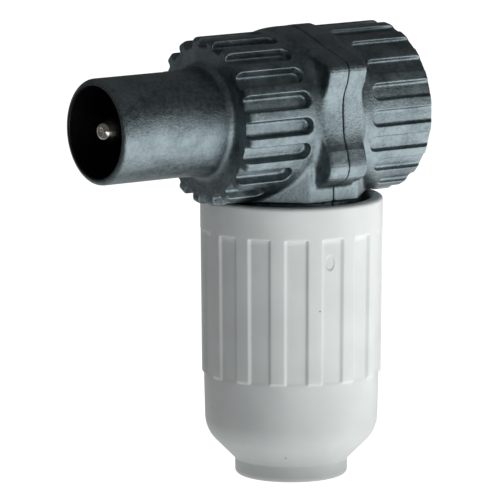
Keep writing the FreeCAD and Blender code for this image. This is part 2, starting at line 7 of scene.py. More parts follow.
import bpy
import numpy as np
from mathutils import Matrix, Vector


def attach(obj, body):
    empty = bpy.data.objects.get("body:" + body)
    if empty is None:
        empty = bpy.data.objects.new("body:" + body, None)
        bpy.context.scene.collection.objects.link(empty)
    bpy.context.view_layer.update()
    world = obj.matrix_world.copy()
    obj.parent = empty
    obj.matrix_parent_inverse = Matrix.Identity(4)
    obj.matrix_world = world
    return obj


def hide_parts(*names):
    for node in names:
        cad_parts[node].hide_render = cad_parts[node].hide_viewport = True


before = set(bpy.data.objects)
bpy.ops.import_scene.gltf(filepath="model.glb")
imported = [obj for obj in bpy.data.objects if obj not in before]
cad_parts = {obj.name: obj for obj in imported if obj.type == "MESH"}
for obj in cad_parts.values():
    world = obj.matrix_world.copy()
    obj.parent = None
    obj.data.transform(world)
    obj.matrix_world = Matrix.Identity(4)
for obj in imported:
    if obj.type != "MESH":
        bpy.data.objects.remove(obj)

# Looks of a right-angle coaxial plug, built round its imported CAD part.
# Forms are given in millimetres about the point where the plug's axis crosses
# the cable's axis, or about the cable's axis for the nut and the clamp cage.

LOG = logging.getLogger("plug")
MM = 0.001
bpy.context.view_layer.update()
BLOCKS_AT_ONCE = 4000
MOST_TRIANGLES = 190000
Distance = Callable[[np.ndarray], np.ndarray]


class Body(Enum):
    """The CAD bodies that pieces ride on."""

    PLUG = "plug"
    CAGE = "cage"
    NUT = "nut"


class Slot(Enum):
    """The record's material slots."""

    CASTING = "casting"
    CONTACT = "contact"
    INSULATOR = "insulator"
    NUT = "nut"
    CLAMP = "clamp"


# Outlines in the plane


def rounded(corners: Sequence[tuple], steps: int = 6) -> list[tuple[float, float]]:
    """Rounds the corners of an outline.

    Args:
        corners: (x, y) or (x, y, radius) corners in order, as a closed outline.
        steps: straight pieces in each rounded corner.

    Returns:
        The outline's points, with an arc in place of each corner that has a radius.
    """
    points: list[tuple[float, float]] = []
    for index, corner in enumerate(corners):
        here = np.array(corner[:2], float)
        radius = corner[2] if len(corner) > 2 else 0.0
        before = np.array(corners[index - 1][:2], float) - here
        after = np.array(corners[(index + 1) % len(corners)][:2], float) - here
        before /= np.linalg.norm(before)
        after /= np.linalg.norm(after)
        half = math.acos(max(-1.0, min(1.0, float(before @ after)))) / 2
        if radius == 0.0 or half > math.pi / 2 - 1e-4:
            points.append((float(here[0]), float(here[1])))
            continue
        middle = before + after
        centre = here + middle / np.linalg.norm(middle) * radius / math.sin(half)
        first = here + before * radius / math.tan(half) - centre
        last = here + after * radius / math.tan(half) - centre
        turn = math.atan2(first[0] * last[1] - first[1] * last[0], float(first @ last))
        start = math.atan2(first[1], first[0])
        for step in range(steps + 1):
            angle = start + turn * step / steps
            points.append((centre[0] + radius * math.cos(angle), centre[1] + radius * math.sin(angle)))
    return points


def eased(share: object) -> object:
    """A share from 0 to 1, or an array of them, with a soft start and end."""
    return share * share * (3 - 2 * share)


def outline_distance(across: np.ndarray, up: np.ndarray, outline: Sequence[tuple]) -> np.ndarray:
    """Signed distance from points to a closed outline, negative inside it."""
    nearest = np.full(across.shape, 1e9, across.dtype)
    sign = np.ones(across.shape, across.dtype)
    for index, end in enumerate(outline):
        start = outline[index - 1]
        edge_x, edge_y = end[0] - start[0], end[1] - start[1]
        from_x, from_y = across - start[0], up - start[1]
        share = np.clip((from_x * edge_x + from_y * edge_y) / (edge_x**2 + edge_y**2), 0, 1)
        gap = (from_x - edge_x * share) ** 2 + (from_y - edge_y * share) ** 2
        nearest = np.minimum(nearest, gap)
        below = (up >= start[1]) & (up < end[1]) & (edge_x * from_y > edge_y * from_x)
        above = (up < start[1]) & (up >= end[1]) & (edge_x * from_y < edge_y * from_x)
        sign = np.where(below | above, -sign, sign)
    return sign * np.sqrt(nearest)


def soft_max(first: np.ndarray, second: np.ndarray, radius: float) -> np.ndarray:
    """The larger of two distances, with the edge between them rounded."""
    if radius <= 0:
        return np.maximum(first, second)
    near = np.maximum(radius - np.abs(first - second), 0)
    return np.maximum(first, second) + near * near / (4 * radius)


class Solid:
    """A form given by its signed distance, negative inside, at points in millimetres."""

    def __init__(self, distance: Distance) -> None:
        self.distance = distance

    def join(self, other: "Solid", fillet: float = 0.0) -> "Solid":
        """Both forms as one, with a fillet where they meet."""
        return Solid(lambda p: -soft_max(-self.distance(p), -other.distance(p), fillet))

    def cut(self, other: "Solid", edge: float = 0.0) -> "Solid":
        """This form without the other, with the new edge rounded."""
        return Solid(lambda p: soft_max(self.distance(p), -other.distance(p), edge))

    def keep(self, other: "Solid", edge: float = 0.0) -> "Solid":
        """What is in both forms, with the new edge rounded."""
        return Solid(lambda p: soft_max(self.distance(p), other.distance(p), edge))


def turned(outline: Sequence[tuple], axis: int = 0) -> Solid:
    """A form turned about an axis.

    Args:
        outline: closed outline of (place along the axis, radius) points.
        axis: 0 for the plug's axis, 2 for the cable's.

    Returns:
        The solid of revolution.
    """
    sides = [index for index in range(3) if index != axis]

    def distance(p: np.ndarray) -> np.ndarray:
        radius = np.hypot(p[:, sides[0]], p[:, sides[1]])
        return outline_distance(p[:, axis], radius, outline)

    return Solid(distance)


def prism(outline: Sequence[tuple], axis: int, low: float, high: float, edge: float) -> Solid:
    """An outline drawn across an axis and filled from low to high along it."""
    sides = [index for index in range(3) if index != axis]
    middle, half = (low + high) / 2, (high - low) / 2

    def distance(p: np.ndarray) -> np.ndarray:
        flat = outline_distance(p[:, sides[0]], p[:, sides[1]], outline)
        return soft_max(flat, np.abs(p[:, axis] - middle) - half, edge)

    return Solid(distance)


# Meshes from solids


@dataclass(frozen=True)
class Box:
    """A block of space in millimetres."""

    low: tuple[float, float, float]
    high: tuple[float, float, float]


def sample(solid: Solid, box: Box, step: float, block: int = 6) -> tuple[np.ndarray, np.ndarray]:
    """Reads a solid's distance on a grid, only near its surface.

    Args:
        solid: the form to read.
        box: the space to read it in.
        step: the grid's spacing in millimetres.
        block: grid steps in each block that is read or skipped as a whole.

    Returns:
        The grid's lowest corner, and the distances as a three-dimensional array.
    """
    low = np.array(box.low, np.float32) - np.float32(step)
    blocks = np.ceil((np.array(box.high) + step - low) / (step * block)).astype(int)
    corners = np.stack(np.meshgrid(*[np.arange(n) for n in blocks], indexing="ij"), -1).reshape(-1, 3)
    centres = (low + (corners + 0.5) * block * step).astype(np.float32)
    rough = solid.distance(centres)
    grid = np.repeat(np.repeat(np.repeat(rough.reshape(blocks), block, 0), block, 1), block, 2)
    grid = np.pad(grid, ((0, 1),) * 3, mode="edge").astype(np.float32)
    inner = np.stack(np.meshgrid(*[np.arange(block + 1)] * 3, indexing="ij"), -1).reshape(-1, 3)
    near = corners[np.abs(rough) < block * step]
    for start in range(0, len(near), BLOCKS_AT_ONCE):
        index = near[start : start + BLOCKS_AT_ONCE, None, :] * block + inner[None]
        index = index.reshape(-1, 3)
        places = (low + index * step).astype(np.float32)
        grid[index[:, 0], index[:, 1], index[:, 2]] = solid.distance(places)
    return low, grid


def surface_net(low: np.ndarray, grid: np.ndarray, step: float) -> tuple[np.ndarray, np.ndarray]:
    """Joins the cells that a surface passes through into a mesh of quads.

    Args:
        low: the grid's lowest corner.
        grid: signed distances on the grid.
        step: the grid's spacing.

    Returns:
        Vertex places, and quads as rows of four vertex numbers, facing outwards.
    """
    inside = grid < 0
    shape = tuple(n - 1 for n in grid.shape)
    count = np.zeros(shape, np.uint8)
    corner_offsets = [(a, b, c) for a in (0, 1) for b in (0, 1) for c in (0, 1)]

    def corner(values: np.ndarray, offset: tuple) -> np.ndarray:
        return values[tuple(slice(o, o + n) for o, n in zip(offset, shape))]

    for offset in corner_offsets:
        count += corner(inside, offset)
    cells = np.argwhere((count > 0) & (count < 8))
    number = np.full(shape, -1, np.int32)
    number[tuple(cells.T)] = np.arange(len(cells))
    total = np.zeros((len(cells), 3))
    crossings = np.zeros((len(cells), 1))
    for first in corner_offsets:
        for axis in range(3):
            if first[axis]:
                continue
            second = list(first)
            second[axis] = 1
            a = grid[tuple((cells + first).T)]
            b = grid[tuple((cells + second).T)]
            crossed = (a < 0) != (b < 0)
            share = np.where(crossed, a / np.where(crossed, a - b, 1), 0)
            place = np.repeat(np.array([first], float), len(cells), 0)
            place[:, axis] = share
            total += place * crossed[:, None]
            crossings += crossed[:, None]
    vertices = low + (cells + total / crossings) * step
    quads = []
    for axis in range(3):
        others = [index for index in range(3) if index != axis]
        ahead = np.moveaxis(inside, axis, 0)
        change = np.argwhere(np.moveaxis(ahead[1:] != ahead[:-1], 0, axis))
        keep = (change[:, others[0]] > 0) & (change[:, others[1]] > 0)
        keep &= (change[:, others[0]] < shape[others[0]]) & (change[:, others[1]] < shape[others[1]])
        change = change[keep]
        ring = []
        for back in ((1, 1), (0, 1), (0, 0), (1, 0)):
            cell = change.copy()
            cell[:, others[0]] -= back[0]
            cell[:, others[1]] -= back[1]
            ring.append(number[tuple(cell.T)])
        ring = np.stack(ring, 1)
        leaving = inside[tuple(change.T)]
        flip = leaving if axis != 1 else ~leaving
        ring[~flip] = ring[~flip][:, ::-1]
        quads.append(ring)
    return vertices, np.concatenate(quads)


def slope(solid: Solid, points: np.ndarray, reach: float) -> tuple[np.ndarray, np.ndarray]:
    """Reads a solid's distance at points, and how it grows around them.

    Args:
        solid: the form to read.
        points: places in millimetres.
        reach: how far off each point the growth is measured.

    Returns:
        The distances, and unit vectors along which they grow fastest.
    """
    points = points.astype(np.float32)
    here = solid.distance(points)
    parts = [solid.distance(points + np.float32(reach) * np.eye(3, dtype=np.float32)[axis]) - here
             for axis in range(3)]
    found = np.stack(parts, 1)
    return here, found / np.maximum(np.linalg.norm(found, axis=1, keepdims=True), 1e-9)


def settle(solid: Solid, points: np.ndarray, reach: float, rounds: int) -> np.ndarray:
    """Moves points that lie near a solid's surface onto it."""
    for _ in range(rounds):
        distance, direction = slope(solid, points, reach * 0.1)
        points = points - direction * np.clip(distance, -reach, reach)[:, None]
    return points


def mesh_object(name: str, vertices: np.ndarray, faces: Sequence) -> bpy.types.Object:
    """A new object from vertices in metres, at the origin."""
    data = bpy.data.meshes.new(name)
    data.from_pydata(vertices.tolist(), [], [list(map(int, face)) for face in faces])
    data.validate()
    thing = bpy.data.objects.new(name, data)
    bpy.context.scene.collection.objects.link(thing)
    return thing


def apply_modifiers(thing: bpy.types.Object) -> None:
    """Replaces an object's mesh by what its modifiers make of it."""
    graph = bpy.context.evaluated_depsgraph_get()
    data = bpy.data.meshes.new_from_object(thing.evaluated_get(graph))
    thing.modifiers.clear()
    thing.data = data


def mesh_solid(name: str, solid: Solid, box: Box, step: float, lift: float, most: int) -> bpy.types.Object:
    """Meshes a solid, thins the mesh and shades it by the solid's own slope.

    Args:
        name: the piece's name.
        solid: the form, in millimetres.
        box: the space that holds it.
        step: the grid's spacing.
        lift: how far up the piece stands in the frame, in millimetres.
        most: the largest number of triangles to keep.

    Returns:
        The finished piece, at the origin with its place in its mesh.
    """
    low, grid = sample(solid, box, step)
    vertices, quads = surface_net(low, grid, step)
    vertices = settle(solid, vertices, step, 2)
    thing = mesh_object(name, vertices, quads)
    if len(quads) * 2 > most:
        thin = thing.modifiers.new("thin", "DECIMATE")
        thin.ratio = most / (len(quads) * 2)
        apply_modifiers(thing)
    data = thing.data
    places = np.zeros(len(data.vertices) * 3)
    data.vertices.foreach_get("co", places)
    places = settle(solid, places.reshape(-1, 3), step, 1)
    normals = slope(solid, places, step * 0.3)[1]
    data.vertices.foreach_set("co", ((places + (0, 0, lift)) * MM).astype(np.float32).ravel())
    data.polygons.foreach_set("use_smooth", [True] * len(data.polygons))
    data.update()
    data.normals_split_custom_set_from_vertices(normals.astype(np.float32).tolist())
    LOG.info("%s: %d faces", name, len(data.polygons))
    return thing


# Die-cast shells


@dataclass(frozen=True)
class FlangeSizes:
    """The waisted flange, as half of its outline from the apex down."""

    apex: float = 7.9
    shoulder: tuple[float, float, float] = (8.97, 5.38, 0.95)
    waist_top: tuple[float, float] = (8.87, 4.1)
    waist_bottom: tuple[float, float] = (8.85, -2.9)
    waist_radius: float = 5.9
    hip: tuple[float, float, float] = (9.15, -4.8, 1.5)
    foot: tuple[float, float] = (6.3, -5.93)
    waist_steps: int = 24
    front: float = 2.1
    rear: float = 2.1
    rim: float = 0.45
    fillet: float = 0.9

    def outline(self) -> list[tuple[float, float]]:
        """The closed outline across the plug's axis, clockwise from the apex."""
        top, bottom = self.waist_top, self.waist_bottom
        half = (top[1] - bottom[1]) / 2
        middle = (top[1] + bottom[1]) / 2
        centre = (top[0] + bottom[0]) / 2 + math.sqrt(self.waist_radius**2 - half**2)
        start = math.asin(half / self.waist_radius)
        waist = []
        for step in range(2, self.waist_steps - 1):
            angle = start - 2 * start * step / self.waist_steps
            across = centre - self.waist_radius * math.cos(angle)
            waist.append((across, middle + self.waist_radius * math.sin(angle)))
        right = [self.shoulder, *waist, self.hip, self.foot]
        left = [(-corner[0], *corner[1:]) for corner in reversed(right)]
        return rounded([(0.0, self.apex), *right, *left])


@dataclass(frozen=True)
class DrumSizes:
    """A slotted drum; ends gives, by slot, how near to the parting plane it runs."""

    radius: float
    length: float
    edge: float
    slot_opening: float
    slot_depth: float
    slot_draft: float
    ends: tuple[float, ...]
    slot_edge: float = 0.12
    floor_edge: float = 0.25
    count: int = 20


@dataclass(frozen=True)
class TubeSizes:
    """The outer conductor in front of the front drum."""

    length: float = 11.6
    straight: float = 8.45
    radius: float = 4.75
    root_radius: float = 4.88
    lip: float = 0.45
    bore_radius: float = 4.12
    bore_edge: float = 0.15
    fillet: float = 0.7


@dataclass(frozen=True)
class ShellSizes:
    """What the two die-cast shells share."""

    axis_height: float = 33.1
    neck_half: float = 6.45
    neck_bottom: float = -7.35
    neck_top: float = -2.0
    collar_radius: float = 6.3
    collar_bottom: float = -20.3
    collar_chamfer: float = 0.4
    stem_edge: float = 0.35
    stem_overlap: float = 0.5
    channel_radius: float = 4.2
    front_cavity_radius: float = 5.6
    front_face_wall: float = 1.2
    rear_cavity_radius: float = 6.15
    rear_cavity_depth: float = 9.0
    parting_edge: float = 0.16
    parting_gap: float = 0.03
    relief_radius: float = 8.48


def slotted_drum(sizes: DrumSizes, side: int) -> tuple[Solid, Solid]:
    """A drum on the plug's axis and the slots in it.

    Args:
        sizes: the drum's sizes.
        side: -1 for the front drum, 1 for the rear one.

    Returns:
        The drum and its slots, which are cut once the flange and neck are joined on.
    """
    drum = turned(rounded([
        (0.0, -1.0), (sizes.length * side, -1.0),
        (sizes.length * side, sizes.radius, sizes.edge), (0.0, sizes.radius),
    ]))
    pitch = 2 * math.pi / sizes.count
    ends = np.array(sizes.ends)
    slant = math.tan(math.radians(sizes.slot_draft))

    def distance(p: np.ndarray) -> np.ndarray:
        along = p[:, 0] * side
        radius = np.hypot(p[:, 1], p[:, 2])
        angle = np.arctan2(p[:, 2], -p[:, 1])
        nearest = np.round(angle / pitch)
        end = ends[nearest.astype(int) % sizes.count]
        across = radius * np.sin(angle - nearest * pitch)
        half = sizes.slot_opening / 2 - (sizes.radius - radius) * slant
        short = np.maximum(end + sizes.slot_opening / 2 - along, 0)
        wall = (np.hypot(short, across) - half) * math.cos(math.radians(sizes.slot_draft))
        return soft_max(wall, sizes.radius - sizes.slot_depth - radius, sizes.floor_edge)

    return drum, Solid(distance)


class Shells:
    """The front and rear castings: tube, drums, flange, octagonal neck and collar.

    The two tables give where each slot ends, in millimetres from the parting plane, by the
    slot's angle in degrees above the plug's side.
    """

    FRONT_ENDS = {0: 3.05, 18: 3.1, 36: 3.2, 54: 3.35, 72: 3.45, 90: 3.5, -18: 3.1, -36: 4.5,
                  -54: 6.2, -72: 8.0, -90: 8.0}
    REAR_ENDS = {0: 3.5, 18: 3.7, 36: 4.0, 54: 3.5, 72: 2.65, 90: 2.6, -18: 3.5, -36: 4.8,
                 -54: 6.6, -72: 8.2, -90: 8.2}

    def __init__(self, sizes: ShellSizes, flange: FlangeSizes) -> None:
        self.sizes = sizes
        self.flange = flange

    @staticmethod
    def slot_ends(by_angle: dict[int, float], count: int = 20) -> tuple[float, ...]:
        """Slot ends all round a drum from those on its near side."""
        ends = []
        for index in range(count):
            angle = (index * 360 // count + 180) % 360 - 180
            if abs(angle) > 90:
                angle = 180 - angle if angle > 0 else -180 - angle
            ends.append(by_angle[angle])
        return tuple(ends)

    def stem(self) -> Solid:
        """The octagonal neck with the collar under it."""
        s = self.sizes
        far, near = s.neck_half, s.neck_half * math.tan(math.pi / 8)
        corners = [(far, -near), (far, near), (near, far), (-near, far),
                   (-far, near), (-far, -near), (-near, -far), (near, -far)]
        neck = prism(rounded([(*corner, s.stem_edge) for corner in corners], 4), 2,
                     s.neck_bottom, s.neck_top, 0.2)
        top, low = s.neck_bottom + s.stem_overlap, s.collar_bottom
        collar = turned([(low, -1.0), (top, -1.0), (top, s.collar_radius),
                         (low + s.collar_chamfer, s.collar_radius),
                         (low, s.collar_radius - s.collar_chamfer)], axis=2)
        return neck.join(collar)

    def channel(self) -> Solid:
        """The cable's way up through neck and collar."""
        radius = self.sizes.channel_radius
        return turned([(-22.0, -1.0), (0.0, -1.0), (0.0, radius), (-22.0, radius)], axis=2)

    def body(self, drum: Solid, side: int) -> Solid:
        """A drum with flange and neck on it, cleared underneath for the nut's rim."""
        s = self.sizes
        reach = s.relief_radius
        relief = turned([(s.neck_bottom - 2, -1.0), (s.neck_bottom, -1.0),
                         (s.neck_bottom, reach), (s.neck_bottom - 2, reach)], axis=2)
        whole = drum.join(self.flange_plate(side), self.flange.fillet).cut(relief, 0.15)
        return whole.join(self.stem(), s.stem_edge)

    def halve(self, whole: Solid, side: int) -> Solid:
        """The part of a form on one side of the parting plane, with its rim eased."""
        gap = self.sizes.parting_gap
        plane = Solid(lambda p: gap - side * p[:, 0])
        return whole.keep(plane, self.sizes.parting_edge)

    def flange_plate(self, side: int) -> Solid:
        """The flange, wide enough to be halved at the parting plane."""
        depth = self.flange.front if side < 0 else self.flange.rear
        return prism(self.flange.outline(), 0, -depth, depth, self.flange.rim)

    def front(self) -> Solid:
        """The front casting with its tube and bore."""
        drum_sizes = DrumSizes(
            radius=7.6, length=9.85, edge=0.5, slot_opening=1.5, slot_depth=0.85, slot_draft=11.0,
            ends=self.slot_ends(self.FRONT_ENDS))
        drum, slots = slotted_drum(drum_sizes, -1)
        t, cavity = TubeSizes(), self.sizes.front_cavity_radius
        face, mouth = -drum_sizes.length, -drum_sizes.length - t.length
        tube = turned(rounded([(face + 1, -1.0), (mouth, -1.0), (mouth, t.radius, t.lip),
                               (mouth + t.straight, t.radius), (face, t.root_radius),
                               (face + 1, t.root_radius)]))
        whole = self.body(drum, -1).cut(slots, drum_sizes.slot_edge).join(tube, t.fillet)
        back = face + self.sizes.front_face_wall
        bore = turned([(mouth - 1, -1.0), (0.5, -1.0), (0.5, cavity), (back, cavity),
                       (back, t.bore_radius), (mouth - 1, t.bore_radius)])
        return self.halve(whole.cut(bore, t.bore_edge).cut(self.channel(), 0.2), -1)

    def rear(self) -> Solid:
        """The rear casting, closed at its back."""
        drum_sizes = DrumSizes(
            radius=7.7, length=10.5, edge=0.85, slot_opening=1.45, slot_depth=0.45, slot_draft=9.0,
            ends=self.slot_ends(self.REAR_ENDS))
        drum, slots = slotted_drum(drum_sizes, 1)
        whole = self.body(drum, 1).cut(slots, drum_sizes.slot_edge)
        deep, wide = self.sizes.rear_cavity_depth, self.sizes.rear_cavity_radius
        cavity = turned([(-0.5, -1.0), (deep, -1.0), (deep, wide), (-0.5, wide)])
        return self.halve(whole.cut(cavity, 0.1).cut(self.channel(), 0.2), 1)

    def build(self, finish: bpy.types.Material) -> list[bpy.types.Object]:
        """Both castings, each in place of its CAD node."""
        step = 0.12
        made = []
        for name, solid, low, high in (
            ("front_shell", self.front(), -21.5, 0.1),
            ("rear_shell", self.rear(), -0.1, 10.6),
        ):
            box = Box((low, -9.8, -20.4), (high, 9.8, 8.3))
            thing = mesh_solid(f"{name}_cast", solid, box, step, self.sizes.axis_height,
                               MOST_TRIANGLES)
            made.append(dress(thing, Body.PLUG, Slot.CASTING, finish, name))
        return made


# Everything shown


def dress(thing: bpy.types.Object, body: Body, slot: Slot, finish: bpy.types.Material,
          *nodes: str) -> bpy.types.Object:
    """Gives a piece its finish and its CAD body.

    Args:
        thing: the piece.
        body: the CAD body that it rides on.
        slot: the record's material slot; not used.
        finish: its material.
        nodes: the CAD nodes that it stands for.

    Returns:
        The same piece.
    """
    thing.data.materials.clear()
    thing.data.materials.append(finish)
    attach(thing, body.value)
    if nodes:
        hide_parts(*nodes)
    return thing


def polished(node: str, body: Body, slot: Slot, finish: bpy.types.Material) -> bpy.types.Object:
    """A smooth-shaded copy of a small CAD node, shown in its place."""
    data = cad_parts[node].data.copy()
    thing = bpy.data.objects.new(f"{node}_finished", data)
    bpy.context.scene.collection.objects.link(thing)
    weld = thing.modifiers.new("weld", "WELD")
    weld.merge_threshold = 1e-6
    apply_modifiers(thing)
    thing.data.shade_smooth()
    thing.data.set_sharp_from_angle(angle=math.radians(35))
    return dress(thing, body, slot, finish, node)


# Cap nut


@dataclass(frozen=True)
class NutSizes:
    """The cap nut, about the cable's axis, with z up from its bottom face."""

    height: float = 25.6
    entry_radius: float = 3.7
    neck_radius: float = 5.1
    neck_height: float = 1.5
    shoulder_radius: float = 7.8
    shoulder_round: float = 3.0
    body_radius: float = 7.93
    rib_lead: float = 0.1
    rib_bottom: float = 9.35
    rib_start: float = 9.7
    rib_radius: float = 8.13
    rim_radius: float = 8.28
    rim_edge: float = 0.3
    floor_bottom: float = 7.905
    floor_top: float = 8.02
    floor_end: float = 22.6
    floor_slope: float = 0.12
    band_bottom: float = 22.9
    band_top: float = 25.1
    ribs: int = 15
    recess_half: float = 6.85
    recess_edge: float = 1.1
    recess_offset: float = -2.8
    thread_radius: float = 7.12
    thread_bottom: float = 11.8
    well_radius: float = 6.6
    wall: float = 1.3


class CapNut:
    """The ribbed cap nut with its inner thread."""

    def __init__(self, sizes: NutSizes) -> None:
        self.sizes = sizes

    def rows(self) -> list[tuple[float, float, float]]:
        """The nut's section as (z, radius on a rib, radius in a recess) rows, once round."""
        s = self.sizes
        cone = s.neck_height - s.neck_radius
        inset = s.wall * math.sqrt(2)
        low = rounded([
            (s.entry_radius, 0.0, 0.3), (s.neck_radius, 0.0, 0.5),
            (s.neck_radius, s.neck_height, 0.25),
            (s.shoulder_radius, s.shoulder_radius + cone, s.shoulder_round),
            (s.body_radius, s.rib_bottom), (s.entry_radius, s.rib_bottom),
        ], 10)[:-2]
        rows = [(z, radius, radius) for radius, z in low]
        top = rows[-1]
        for share in (0.25, 0.5, 0.75, 1.0):
            radius = top[1] + (s.body_radius - top[1]) * share
            rows.append((top[0] + (s.rib_bottom - s.rib_lead - top[0]) * share, radius, radius))
        for step in range(9):
            share = step / 8
            ease = eased(share)
            z = s.rib_bottom + (s.rib_start - s.rib_bottom) * share
            rows.append((z, s.body_radius + (s.rib_radius - s.body_radius) * ease,
                         s.body_radius + (s.floor_bottom - s.body_radius) * ease))
        for share in np.linspace(0, 1, 30)[1:]:
            z = s.rib_start + (s.floor_end - s.rib_start) * share
            rows.append((z, self.rib_radius(z), s.floor_bottom + (s.floor_top - s.floor_bottom) * share))
        for step in range(1, 7):
            share = step / 6
            ease = eased(share)
            z = s.floor_end + s.floor_slope * share
            rib = self.rib_radius(z)
            rows.append((z, rib, s.floor_top + (rib - s.floor_top) * ease))
        rows += [(z, self.rib_radius(z), self.rib_radius(z))
                 for z in np.linspace(s.band_bottom, s.band_top, 6)]
        well = s.well_radius + cone + inset
        high = rounded([
            (self.rib_radius(s.band_top), s.band_top), (s.rim_radius, s.height, s.rim_edge),
            (s.thread_radius, s.height, 0.35), (s.thread_radius, s.thread_bottom, 0.2),
            (s.well_radius, s.thread_bottom, 0.2), (s.well_radius, well, 0.3),
            (s.entry_radius, s.entry_radius + cone + inset, 0.3), (s.entry_radius, 0.3),
        ], 6)[1:-1]
        return rows + [(z, radius, radius) for radius, z in high]

    def rib_radius(self, z: float) -> float:
        """The radius over the ribs, which widens towards the rim."""
        s = self.sizes
        return s.rib_radius + (s.rim_radius - s.rib_radius) * (z - s.rib_start) / (s.height - s.rib_start)

    def columns(self) -> tuple[np.ndarray, np.ndarray]:
        """Angles round the nut in degrees, and how far each lies in a recess, from 0 to 1."""
        s = self.sizes
        edge = np.linspace(-s.recess_edge, s.recess_edge, 9)
        pitch = 360 / s.ribs
        inner = np.linspace(0, s.recess_half - s.recess_edge, 7)[:-1]
        outer = np.linspace(s.recess_half + s.recess_edge, pitch / 2, 6)[1:]
        half = np.concatenate([inner, s.recess_half + edge, outer])
        across = np.concatenate([-half[-2:0:-1], half])
        share = np.clip((s.recess_half + s.recess_edge - np.abs(across)) / (2 * s.recess_edge), 0, 1)
        depth = eased(share)
        angles = [across + s.recess_offset + pitch * index for index in range(s.ribs)]
        return np.concatenate(angles), np.tile(depth, s.ribs)

    def build(self, finish: bpy.types.Material) -> bpy.types.Object:
        """The nut in place of its CAD node, as a net of rows and columns closed both ways."""
        rows = np.array(self.rows())
        angles, depth = self.columns()
        turn = np.radians(angles)[None, :]
        radius = rows[:, 1:2] + (rows[:, 2:3] - rows[:, 1:2]) * depth[None, :]
        places = np.stack([radius * np.cos(turn), radius * np.sin(turn),
                           np.repeat(rows[:, 0:1], len(angles), 1)], -1)
        down, across = len(rows), len(angles)
        number = np.arange(down * across).reshape(down, across)
        right, up = np.roll(number, -1, 1), np.roll(number, -1, 0)
        faces = np.stack([number, right, np.roll(right, -1, 0), up], -1).reshape(-1, 4)
        thing = mesh_object("cap_nut_moulded", places.reshape(-1, 3) * MM, faces)
        thing.data.shade_smooth()
        LOG.info("cap_nut_moulded: %d faces", len(thing.data.polygons))
        return dress(thing, Body.NUT, Slot.NUT, finish, "cap_nut")


# Threads, made by geometry nodes


@dataclass(frozen=True)
class ThreadSizes:
    """A helical ridge about the cable's axis; it stands inwards when depth is negative."""

    radius: float
    depth: float
    pitch: float
    low: float
    high: float


COLLAR_THREAD = ThreadSizes(radius=6.45, depth=0.5, pitch=1.5, low=13.4, high=25.2)
NUT_THREAD = ThreadSizes(radius=7.0, depth=0.3, pitch=1.5, low=12.2, high=24.8)


class ThreadMaker:
    """One node group that winds a ridge round a cylinder, used for both threads."""

    INPUTS = (("Radius", 6.3), ("Depth", 0.4), ("Pitch", 1.5), ("Low", 0.0), ("High", 10.0))

    def __init__(self) -> None:
        self.group = bpy.data.node_groups.new("thread", "GeometryNodeTree")
        self.identifiers: dict[str, str] = {}
        face = self.group.interface
        for name, value in self.INPUTS:
            made = face.new_socket(name, in_out="INPUT", socket_type="NodeSocketFloat")
            made.default_value = value
            self.identifiers[name] = made.identifier
        made = face.new_socket("Finish", in_out="INPUT", socket_type="NodeSocketMaterial")
        self.identifiers["Finish"] = made.identifier
        face.new_socket("Geometry", in_out="OUTPUT", socket_type="NodeSocketGeometry")
        self.wire()

    def node(self, kind: str, inputs: Optional[dict] = None, **settings: object) -> bpy.types.Node:
        """Adds a node, sets its settings and fills its inputs with values or outputs."""
        made = self.group.nodes.new(kind)
        for name, value in settings.items():
            setattr(made, name, value)
        for name, value in (inputs or {}).items():
            if isinstance(value, bpy.types.NodeSocket):
                self.group.links.new(value, made.inputs[name])
            else:
                made.inputs[name].default_value = value
        return made

    def maths(self, operation: str, first: object, second: object) -> bpy.types.NodeSocket:
        """One sum of two values."""
        return self.node("ShaderNodeMath", {0: first, 1: second}, operation=operation).outputs[0]

    def wire(self) -> None:
        """Links the spiral, its section, its place and its finish."""
        given = self.node("NodeGroupInput").outputs
        height = self.maths("SUBTRACT", given["High"], given["Low"])
        turns = self.maths("DIVIDE", height, given["Pitch"])
        spiral = self.node("GeometryNodeCurveSpiral", {
            "Resolution": 72, "Rotations": turns, "Start Radius": given["Radius"],
            "End Radius": given["Radius"], "Height": height, "Reverse": False})
        upright = self.node("GeometryNodeSetCurveNormal", {"Curve": spiral.outputs[0]}, mode="Z_UP")
        foot = self.maths("MULTIPLY", given["Pitch"], 0.8)
        section = self.node("GeometryNodeCurvePrimitiveQuadrilateral", {
            "Bottom Width": foot, "Top Width": self.maths("MULTIPLY", given["Pitch"], 0.15),
            "Height": given["Depth"], "Offset": 0.0}, mode="TRAPEZOID")
        ridge = self.node("GeometryNodeCurveToMesh", {
            "Curve": upright.outputs[0], "Profile Curve": section.outputs[0], "Fill Caps": True})
        lift = self.node("ShaderNodeCombineXYZ", {"Z": given["Low"]})
        placed = self.node("GeometryNodeTransform", {
            "Geometry": ridge.outputs[0], "Translation": lift.outputs[0]})
        real = self.node("GeometryNodeRealizeInstances", {"Geometry": placed.outputs[0]})
        final = self.node("GeometryNodeSetMaterial", {
            "Geometry": real.outputs[0], "Material": given["Finish"]})
        self.node("NodeGroupOutput", {"Geometry": final.outputs[0]})

    def build(self, name: str, sizes: ThreadSizes, finish: bpy.types.Material) -> bpy.types.Object:
        """One thread as a plain mesh in metres, at the origin."""
        thing = mesh_object(name, np.zeros((0, 3)), [])
        modifier = thing.modifiers.new("thread", "NODES")
        modifier.node_group = self.group
        for key, value in (("Radius", sizes.radius), ("Depth", sizes.depth), ("Pitch", sizes.pitch),
                           ("Low", sizes.low), ("High", sizes.high)):
            modifier[self.identifiers[key]] = value * MM
        modifier[self.identifiers["Finish"]] = finish
        apply_modifiers(thing)
        return thing


# Shader graphs


